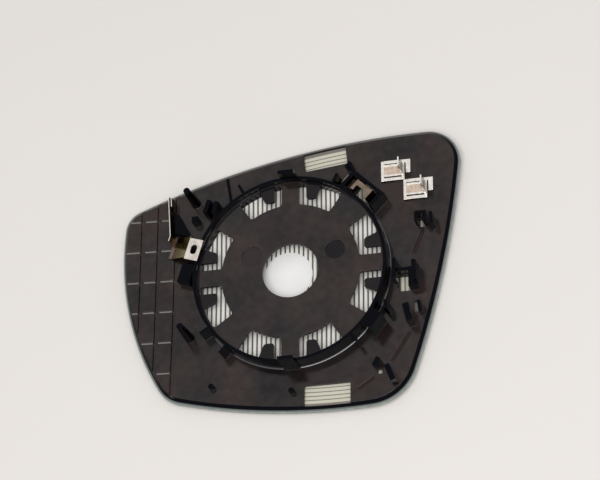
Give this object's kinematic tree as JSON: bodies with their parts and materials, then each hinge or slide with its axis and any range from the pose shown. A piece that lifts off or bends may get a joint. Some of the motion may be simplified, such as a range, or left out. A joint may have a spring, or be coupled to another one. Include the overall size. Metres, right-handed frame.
{
  "type": "car door mirror glass",
  "caption": "Convex heated door mirror glass with a moulded backing plate, snap drum, spade terminals and spring clips, lying face down.",
  "frame": {"origin": "on the drum's axis, at the top face of the drum's floor", "axes": "+Z along the drum's axis, out of the back of the plate; +X along the length, towards the terminals; +Y towards the upper edge"},
  "size_m": [0.1854, 0.1518, 0.0244],
  "materials": {
    "mirror_glass": "silvered glass with a ground edge",
    "heater_film": "thin dark film",
    "heater_tracks": "pale printed conductor",
    "label_disc": "plain white sticker",
    "backing_plate": "satin black moulding",
    "terminals": "tinned sheet",
    "spring_clips": "spring steel with a warm tint"
  },
  "bodies": {
    "root": {"mirror_glass": "mirror_glass", "heater_film": "heater_film", "heater_tracks": "heater_tracks", "label_disc": "label_disc", "backing_plate": "backing_plate", "terminal_upper": "terminals", "terminal_lower": "terminals", "spring_clip_right": "spring_clips", "spring_clip_left": "spring_clips"}
  },
  "joints": []
}
